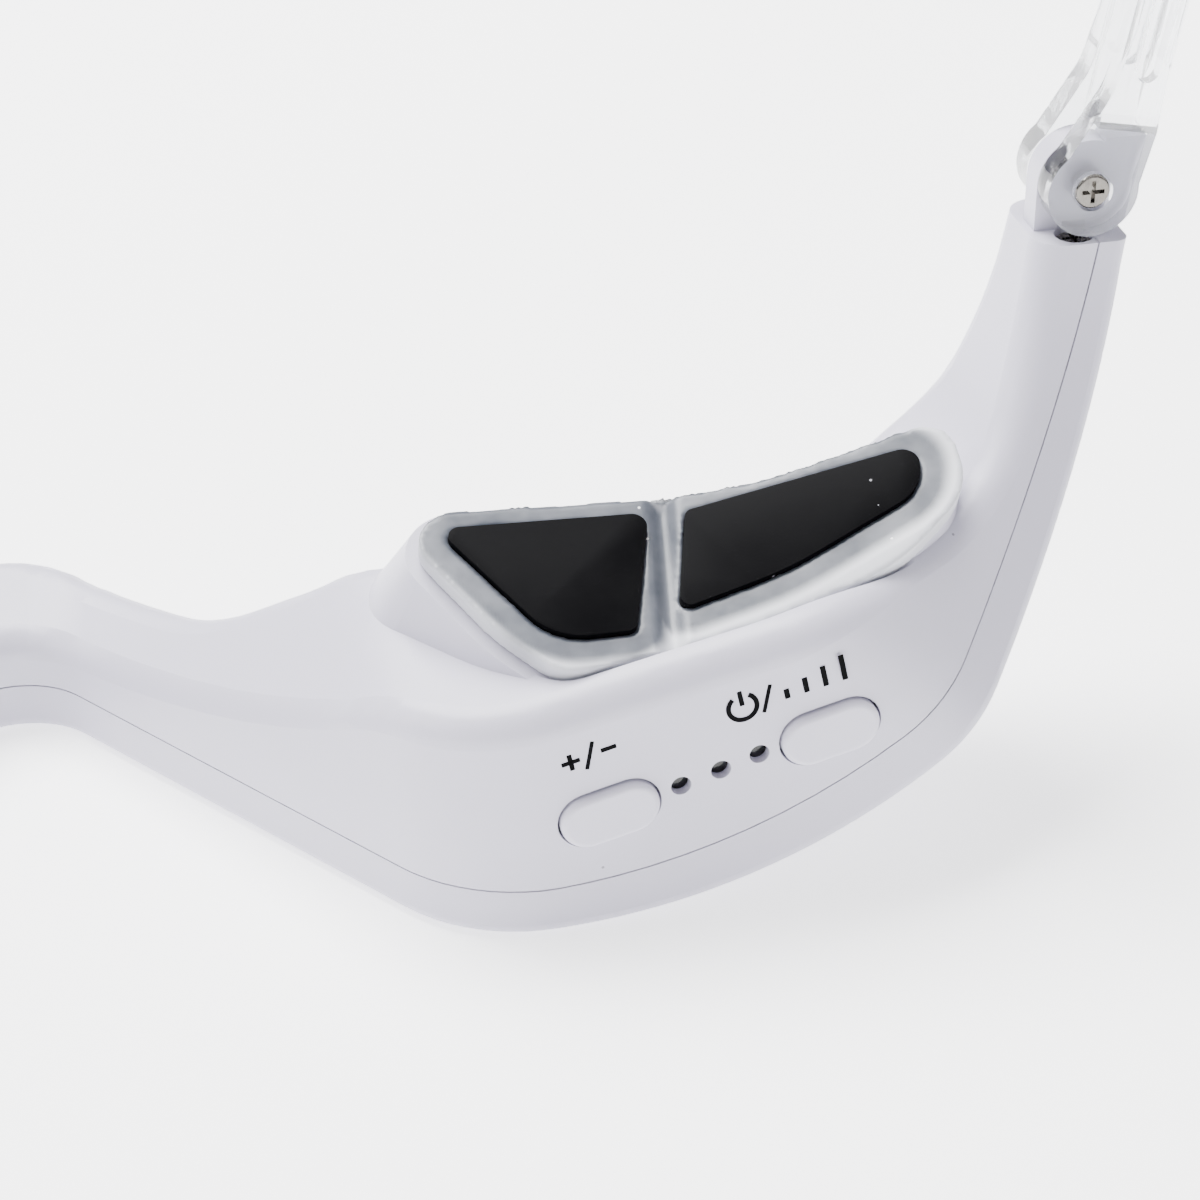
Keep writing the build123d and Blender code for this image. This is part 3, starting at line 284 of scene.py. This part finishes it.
# %% Metals
def plated_metal(name, colour, roughness, stretch):
    """Plated or drawn metal with a directional grain and slight stains."""
    material, tree, shader = new_material(name)
    lines = noise(tree, object_coordinates(tree, stretch), 5200.0)
    stains = noise(tree, object_coordinates(tree), 900.0)
    stain_mask = remap(tree, stains, 0.55, 0.75, 0.0, 0.7)
    darker = tuple(v * 0.55 for v in colour)
    tree.links.new(mix_colour(tree, stain_mask, colour, darker), shader.inputs["Base Color"])
    shader.inputs["Metallic"].default_value = 1.0
    tree.links.new(remap(tree, lines, 0.3, 0.7, roughness - 0.06, roughness + 0.1),
                   shader.inputs["Roughness"])
    bump(tree, shader, lines, 0.2, 0.000012)
    return material


screw_nickel = plated_metal("ScrewNickel", (0.17, 0.16, 0.145), 0.24, (1.0, 1.0, 0.3))
socket_steel = plated_metal("SocketSteel", (0.62, 0.63, 0.65), 0.3, (0.1, 1.0, 1.0))
pin_gold = plated_metal("PinGold", (0.86, 0.66, 0.30), 0.25, (1.0, 0.2, 1.0))
cell_foil = plated_metal("CellFoil", (0.72, 0.73, 0.75), 0.38, (0.3, 1.0, 1.0))
print("metals made")

# %% [markdown]
# The boards and leads are inside and rarely seen, but each still has its own finish: green
# solder mask with a fine raised pattern for its tracks, and lead sheaths with a slight mottling.

# %% Board and leads
def solder_mask(name, colour):
    """Green solder mask with raised tracks from a brick pattern."""
    material, tree, shader = new_material(name)
    coordinates = object_coordinates(tree)
    tracks = tree.nodes.new("ShaderNodeTexBrick")
    tracks.inputs["Scale"].default_value = 900.0
    tracks.inputs["Mortar Size"].default_value = 0.06
    tree.links.new(coordinates, tracks.inputs["Vector"])
    lighter = tuple(min(1.0, v * 2.2) for v in colour)
    tree.links.new(mix_colour(tree, tracks.outputs["Fac"], colour, lighter),
                   shader.inputs["Base Color"])
    mottle = noise(tree, coordinates, 1500.0)
    tree.links.new(remap(tree, mottle, 0.3, 0.7, 0.25, 0.42), shader.inputs["Roughness"])
    bump(tree, shader, tracks.outputs["Fac"], 0.3, 0.00003)
    return material


def sheath(name, colour, gloss=0.5):
    """Lead sheath or ink with a slight mottling and matt patches."""
    material, tree, shader = new_material(name)
    coordinates = object_coordinates(tree)
    mottle = noise(tree, coordinates, 700.0)
    darker = tuple(v * 0.7 for v in colour)
    tree.links.new(mix_colour(tree, remap(tree, mottle, 0.35, 0.65, 0.0, 1.0), colour, darker),
                   shader.inputs["Base Color"])
    tree.links.new(remap(tree, mottle, 0.3, 0.7, 0.4, 0.6), shader.inputs["Roughness"])
    shader.inputs["Specular IOR Level"].default_value = gloss
    bump(tree, shader, mottle, 0.2, 0.00002)
    return material


board_green = solder_mask("BoardMask", (0.012, 0.11, 0.045))
lead_red = sheath("LeadRed", (0.55, 0.03, 0.025))
cable_black = sheath("CableBlack", (0.02, 0.02, 0.022))
print("board and leads made")

# %% [markdown]
# The pads are milky translucent silicone, white at the rim and bluish grey towards the black
# electrodes that sit in it. No image is needed for that: each vertex stores how close it is to
# the electrodes, from 0 to 1, as an attribute that the material reads. The electrodes and the
# printing ink reflect very little, which keeps them deep black under the large soft lights.

# %% Silicone and electrodes
def milky_silicone(name):
    """Milky silicone, bluish grey beside the electrodes and white at its rim."""
    material, tree, shader = new_material(name)
    near = tree.nodes.new("ShaderNodeAttribute")
    near.attribute_name = "beside_electrode"
    coordinates = object_coordinates(tree)
    clouds = noise(tree, coordinates, 220.0)
    shade = combine(tree, "MULTIPLY", near.outputs["Fac"], remap(tree, clouds, 0.3, 0.7, 0.8, 1.0))
    milk = mix_colour(tree, shade, (0.66, 0.67, 0.71), (0.035, 0.045, 0.065))
    specks = use_group(tree, speck_group, {"Speck scale": 500.0, "Speck size": 0.05})
    tree.links.new(mix_colour(tree, specks["Mask"], milk, (0.9, 0.9, 0.92)),
                   shader.inputs["Base Color"])
    shader.inputs["Subsurface Weight"].default_value = 0.12
    shader.inputs["Subsurface Radius"].default_value = (0.9, 1.0, 1.1)
    shader.inputs["Subsurface Scale"].default_value = 0.0008
    shader.inputs["Transmission Weight"].default_value = 0.12
    tree.links.new(remap(tree, clouds, 0.3, 0.7, 0.3, 0.42), shader.inputs["Roughness"])
    bump(tree, shader, noise(tree, coordinates, 1800.0), 0.25, 0.00003)
    return material


def conductive_rubber(name):
    """Deep black conductive rubber with a soft gloss and pale dust specks."""
    material, tree, shader = new_material(name)
    specks = use_group(tree, speck_group, {"Speck scale": 620.0, "Speck size": 0.06})
    coordinates = object_coordinates(tree)
    smear = noise(tree, coordinates, 160.0)
    base = mix_colour(tree, remap(tree, smear, 0.4, 0.7, 0.0, 1.0),
                      (0.0015, 0.0015, 0.002), (0.0035, 0.0035, 0.004))
    tree.links.new(mix_colour(tree, specks["Mask"], base, (0.30, 0.30, 0.32)),
                   shader.inputs["Base Color"])
    tree.links.new(remap(tree, smear, 0.3, 0.7, 0.42, 0.52), shader.inputs["Roughness"])
    shader.inputs["Specular IOR Level"].default_value = 0.03
    bump(tree, shader, noise(tree, coordinates, 2400.0), 0.12, 0.00002)
    return material


silicone = milky_silicone("MilkySilicone")
electrode_black = conductive_rubber("ElectrodeRubber")
ink_black = sheath("PrintedInk", (0.002, 0.002, 0.0025), gloss=0.03)
print("silicone, rubber and ink made")

# %% [markdown]
# Every CAD node gets one finish by its name, the hidden ones too, so that nothing is left in the
# plain colour of the CAD model when the casing is taken away.

# %% Finishes for the CAD nodes
finishes = {
    "rear_shell": shell_white, "front_cover": cover_white,
    "level_button": key_white, "mode_button": key_white,
    "level_switch": switch_black, "mode_switch": switch_black,
    "light_guide": guide_smoke, "status_lamps": lens_white,
    "control_board": board_green, "charge_board": board_green,
    "control_chip": chip_black, "charge_chip": chip_black, "boost_coil": ferrite_grey,
    "battery": cell_foil, "battery_tape": tape_foam, "charging_socket": socket_steel,
    "board_screws": screw_nickel, "charge_board_screws": screw_nickel,
    "case_screws": screw_nickel, "end_screws": screw_nickel,
    "hinge_screw_right": screw_nickel, "hinge_screw_left": screw_nickel,
    "temple_right": temple_clear, "temple_left": temple_clear,
    "contact_pins_right": pin_gold, "contact_pins_left": pin_gold,
    "power_cable": cable_black, "battery_leads": lead_red,
    "pad_leads_left": lead_red, "pad_leads_right": lead_red,
    "silicone_pad_right": silicone, "silicone_pad_left": silicone,
    "electrode_inner_right": electrode_black, "electrode_outer_right": electrode_black,
    "electrode_inner_left": electrode_black, "electrode_outer_left": electrode_black,
}
for name, node in nodes.items():
    node.data.materials.clear()
    node.data.materials.append(finishes[name])
print("finishes set on", len(finishes), "nodes")

# %% [markdown]
# Each pad is one silicone moulding with rounded edges, a raised bead round its rim, two wells
# for the electrodes, and a groove across its fold where it bends over the cheekbone. The CAD
# solid gives its place and thickness. A copy of it is voxel remeshed, which makes an even skin
# without hard edges, and a smoothing then rounds the rim as a soft mould does. Moving the
# vertices near the fold's line presses the groove in, and moving those near the electrodes
# lowers the inner face, which leaves the bead standing.

# %% Soft pads
groove_x = (0.0457, 0.0437)      # the groove's X at the pad's top and lower edge
groove_half = 0.0013             # half its width
groove_depth = 0.0007
pad_voxel = 0.00022
pad_tilt = math.radians(25.0)    # the pads' faces lean this far from Z towards the chin
facing = 0.2                     # vertices that face outwards more than this are moved
well_depth = 0.00022             # the rim's bead stands this far above the inner face
well_inner = 0.0015              # the bead starts this far from the electrodes
well_outer = 0.0026


def smooth_share(value, low, high):
    """1 below the low value and 0 above the high one, smooth in between."""
    share = min(1.0, max(0.0, (high - value) / (high - low)))
    return share * share * (3 - 2 * share)


def nearest_on(mesh_objects, point):
    """Distance from a point to the nearest surface of several objects."""
    places = [one.closest_point_on_mesh(point)[1] for one in mesh_objects]
    return min((place - point).length for place in places)


def merged_copy(node, name):
    """Own copy of a CAD node's mesh, its doubled vertices merged."""
    bpy.ops.object.select_all(action="DESELECT")
    piece = bpy.data.objects.new(name, node.data.copy())
    bpy.context.scene.collection.objects.link(piece)
    piece.select_set(True)
    bpy.context.view_layer.objects.active = piece
    bpy.ops.object.mode_set(mode="EDIT")
    bpy.ops.mesh.select_all(action="SELECT")
    bpy.ops.mesh.remove_doubles(threshold=0.00001)
    bpy.ops.object.mode_set(mode="OBJECT")
    return piece


def apply_modifier(piece, kind, **settings):
    """Adds a modifier with its settings and applies it."""
    bpy.context.view_layer.objects.active = piece
    modifier = piece.modifiers.new(kind.title(), kind)
    for title, value in settings.items():
        setattr(modifier, title, value)
    bpy.ops.object.modifier_apply(modifier=modifier.name)


def soft_pad(side_name):
    """Remeshed, rounded silicone pad with its groove and its bead."""
    piece = merged_copy(nodes["silicone_pad_" + side_name], "soft_pad_" + side_name)
    apply_modifier(piece, "REMESH", mode="VOXEL", voxel_size=pad_voxel, use_smooth_shade=True)
    apply_modifier(piece, "SMOOTH", factor=0.5, iterations=6)
    low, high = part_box("silicone_pad_" + side_name)
    out = Vector((0, -math.sin(pad_tilt), math.cos(pad_tilt)))
    electrodes = [nodes["electrode_inner_" + side_name], nodes["electrode_outer_" + side_name]]
    for vertex in piece.data.vertices:
        share = (vertex.co.y - low.y) / (high.y - low.y)
        line_x = groove_x[1] + (groove_x[0] - groove_x[1]) * share
        apart = abs(abs(vertex.co.x) - line_x) / groove_half
        if apart < 1.0 and vertex.normal.dot(out) > facing:
            vertex.co -= out * groove_depth * (0.5 + 0.5 * math.cos(math.pi * apart))
    beside = [smooth_share(nearest_on(electrodes, vertex.co), well_inner, well_outer)
              for vertex in piece.data.vertices]
    for vertex, close in zip(piece.data.vertices, beside):
        if vertex.normal.dot(out) > facing:
            vertex.co -= out * well_depth * close
    attribute = piece.data.attributes.new("beside_electrode", "FLOAT", "POINT")
    attribute.data.foreach_set("value", beside)
    piece.data.materials.clear()
    piece.data.materials.append(silicone)
    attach(piece, "frame")
    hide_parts("silicone_pad_" + side_name)
    print(piece.name, len(piece.data.polygons), "faces")


for side_name in ("right", "left"):
    soft_pad(side_name)

# %% [markdown]
# The electrodes are thin black inserts whose corners are softened by the same mould. Their CAD
# solids have sharp rims, so each is copied, merged and bevelled, which gives the thin light line
# that a rounded edge catches.

# %% Electrodes
def soft_electrode(name):
    """Bevelled copy of an electrode's solid."""
    piece = merged_copy(nodes[name], "soft_" + name)
    apply_modifier(piece, "BEVEL", width=0.00012, segments=3, limit_method="ANGLE",
                   angle_limit=math.radians(50.0))
    bpy.ops.object.shade_smooth_by_angle(angle=math.radians(40.0))
    piece.data.materials.clear()
    piece.data.materials.append(electrode_black)
    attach(piece, "frame")
    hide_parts(name)
    return piece


soft_electrodes = [soft_electrode("electrode_" + place + "_" + side_name)
                   for place in ("inner", "outer") for side_name in ("right", "left")]
print("electrodes", [len(piece.data.polygons) for piece in soft_electrodes])

# %% [markdown]
# The symbols beside the keys are pad-printed in black ink. Ink has a thickness of a few
# hundredths of a millimetre, so each mark is a thin solid that stands a little proud of the wall.
# The wall is flat there, so the marks are laid out on a flat plane with the wall's own direction,
# turned with the keys. Bars are bevelled boxes and the ring is spun. All the signs are generic:
# plus and minus for the level, and a power sign with four rising bars for the modes.

# %% Printed symbols
wall_turn = math.radians(3.3)    # the bottom wall's lean about Z
wall_at_zero = -0.0387 - 0.0289 * math.tan(wall_turn)    # the wall's Y at X = 0
along_wall = Vector((math.cos(wall_turn), math.sin(wall_turn), 0.0))
out_of_wall = Vector((math.sin(wall_turn), -math.cos(wall_turn), 0.0))
ink_rise = 0.00004               # half of it is sunk into the wall
print_turn = math.radians(13.0)
slash_turn = print_turn + math.radians(68)
upright = print_turn + math.pi / 2
sign_stroke, slash_stroke, level_stroke = 0.000338, 0.000286, 0.00039


def wall_matrix(x, z, turn):
    """Place on the bottom wall, x along it and z up, whose local X is turned within the wall."""
    up = Vector((0.0, 0.0, 1.0))
    first = along_wall * math.cos(turn) + up * math.sin(turn)
    second = up * math.cos(turn) - along_wall * math.sin(turn)
    basis = Matrix((first, second, out_of_wall)).transposed().to_4x4()
    place = Vector((0.0, wall_at_zero, z)) + along_wall * x
    return Matrix.Translation(place) @ basis


def ink_bar(x, z, length, width, turn):
    """Thin bar of ink with rounded ends, as a bevelled box placed on the wall."""
    bpy.ops.object.select_all(action="DESELECT")
    bpy.ops.mesh.primitive_cube_add(size=1.0, location=(0, 0, 0))
    bar = bpy.context.object
    bar.data.transform(Matrix.Diagonal((length, width, ink_rise * 2, 1.0)))
    apply_modifier(bar, "BEVEL", width=width * 0.3, segments=3, affect="EDGES",
                   limit_method="NONE")
    bar.data.transform(wall_matrix(x, z, turn))
    return bar


def ink_ring(x, z, radius, width, gap):
    """Open ring of ink: a small face spun round the ring's centre, leaving a gap at its top."""
    bpy.ops.object.select_all(action="DESELECT")
    bpy.ops.mesh.primitive_plane_add(size=1.0, location=(0, 0, 0))
    ring = bpy.context.object
    start = math.pi / 2 - gap / 2
    place = Matrix.Rotation(start, 4, "Z") @ Matrix.Translation((radius, 0, 0))
    flat = Matrix.Rotation(math.pi / 2, 4, "X") @ Matrix.Diagonal((width, ink_rise * 2, 1, 1))
    ring.data.transform(place @ flat)
    bpy.ops.object.mode_set(mode="EDIT")
    bpy.ops.mesh.select_all(action="SELECT")
    bpy.ops.mesh.spin(steps=40, angle=2 * math.pi - gap, center=(0, 0, 0), axis=(0, 0, 1))
    bpy.ops.mesh.select_all(action="SELECT")
    bpy.ops.mesh.remove_doubles(threshold=0.0000005)
    bpy.ops.mesh.normals_make_consistent(inside=False)
    bpy.ops.object.mode_set(mode="OBJECT")
    ring.data.transform(wall_matrix(x, z, print_turn))
    return ring


def join_marks(parts, name):
    """Joins the bars and rings of one printed sign and gives it the ink."""
    bpy.ops.object.select_all(action="DESELECT")
    for part in parts:
        part.select_set(True)
    bpy.context.view_layer.objects.active = parts[0]
    bpy.ops.object.join()
    sign = parts[0]
    sign.name = sign.data.name = name
    sign.data.materials.clear()
    sign.data.materials.append(ink_black)
    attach(sign, "frame")
    print(name, len(sign.data.polygons), "faces")


plus_at, minus_at, slash_at = (0.0361, 0.01405), (0.0387, 0.01475), (0.0374, 0.0144)
join_marks([
    ink_bar(*plus_at, 0.0013, sign_stroke, print_turn),
    ink_bar(*plus_at, 0.0013, sign_stroke, upright),
    ink_bar(*slash_at, 0.0022, slash_stroke, slash_turn),
    ink_bar(*minus_at, 0.0011, sign_stroke, print_turn),
], "sign_plus_minus")
power_at, mode_slash_at = (0.0480, 0.0164), (0.0497, 0.0168)
power_top = (power_at[0] - 0.0007 * math.sin(print_turn), power_at[1] + 0.0007)
bars = [ink_bar(0.0511 + 0.0013 * step, 0.01695 + 0.00048 * step, 0.0008 + 0.00042 * step,
                level_stroke, upright) for step in range(4)]
join_marks([
    ink_ring(*power_at, 0.001, sign_stroke, math.radians(70)),
    ink_bar(*power_top, 0.0012, sign_stroke, upright),
    ink_bar(*mode_slash_at, 0.0022, slash_stroke, slash_turn),
    *bars,
], "sign_power_levels")

# %% [markdown]
# The camera is a short telephoto about 24 cm away, on the wearer's side and above, which gives
# the frame its strong perspective. The lights are a large soft source overhead and weaker ones
# at the left and behind the camera. The floor gives out a little light too, so it stays paler
# than the shells and takes only a faint contact shadow.

# %% Camera, floor and lights
def point_camera(place, back, right, lens):
    """Camera at a place, looking against the back vector, with a level right vector."""
    data = bpy.data.cameras.new("Camera")
    data.lens = lens
    data.sensor_width = 36.0
    data.clip_start, data.clip_end = 0.01, 10.0
    camera = bpy.data.objects.new("Camera", data)
    bpy.context.scene.collection.objects.link(camera)
    back = Vector(back).normalized()
    right = Vector(right).normalized()
    up = back.cross(right)
    turn = Matrix((right, up, back)).transposed()
    camera.matrix_world = Matrix.Translation(place) @ turn.to_4x4()
    bpy.context.scene.camera = camera


def area_light(name, place, target, size, power):
    """Square white area light at a place, facing a target."""
    data = bpy.data.lights.new(name, "AREA")
    data.size = size
    data.energy = power
    lamp = bpy.data.objects.new(name, data)
    bpy.context.scene.collection.objects.link(lamp)
    lamp.location = place
    aim = Vector(target) - Vector(place)
    lamp.rotation_mode = "QUATERNION"
    lamp.rotation_quaternion = aim.to_track_quat("-Z", "Y")


point_camera((0.00363, -0.20011, 0.12580), (-0.1782151, -0.83843614, 0.51503807),
             (0.97815, -0.20791, 0.0), 90.0)

floor_material, floor_tree, floor_shader = new_material("StudioFloor")
floor_cloud = noise(floor_tree, object_coordinates(floor_tree), 8.0)
floor_tree.links.new(mix_colour(floor_tree, floor_cloud, (0.96, 0.96, 0.96), (0.98, 0.98, 0.98)),
                     floor_shader.inputs["Base Color"])
floor_shader.inputs["Emission Color"].default_value = (1.0, 1.0, 1.0, 1.0)
floor_shader.inputs["Emission Strength"].default_value = 1.6
floor_shader.inputs["Roughness"].default_value = 0.9
floor_shader.inputs["Specular IOR Level"].default_value = 0.1
bpy.ops.object.select_all(action="DESELECT")
bpy.ops.mesh.primitive_plane_add(size=6.0, location=(0, 0, -0.0001))
floor = bpy.context.object
floor.name = "Floor"
floor.data.materials.append(floor_material)

world = bpy.data.worlds.new("Studio")
bpy.context.scene.world = world
world.use_nodes = True
sky = world.node_tree
toward = sky.nodes.new("ShaderNodeTexCoord").outputs["Generated"]
parts_of = sky.nodes.new("ShaderNodeSeparateXYZ")
sky.links.new(toward, parts_of.inputs["Vector"])
height = remap(sky, parts_of.outputs["Z"], -0.05, 0.65, 0.0, 1.0)
studio_grey, studio_white = (0.10, 0.10, 0.12), (0.92, 0.92, 0.97)
sky.links.new(mix_colour(sky, height, studio_grey, studio_white),
              sky.nodes["Background"].inputs["Color"])
sky.nodes["Background"].inputs["Strength"].default_value = 0.8
area_light("SoftTop", (-0.15, 0.30, 0.70), (0.03, -0.02, 0.0), 0.6, 24.0)
area_light("SoftLeft", (-0.70, -0.10, 0.45), (0.03, -0.02, 0.02), 0.5, 3.0)
area_light("SoftFront", (0.15, -0.80, 0.30), (0.03, -0.02, 0.02), 0.6, 1.0)
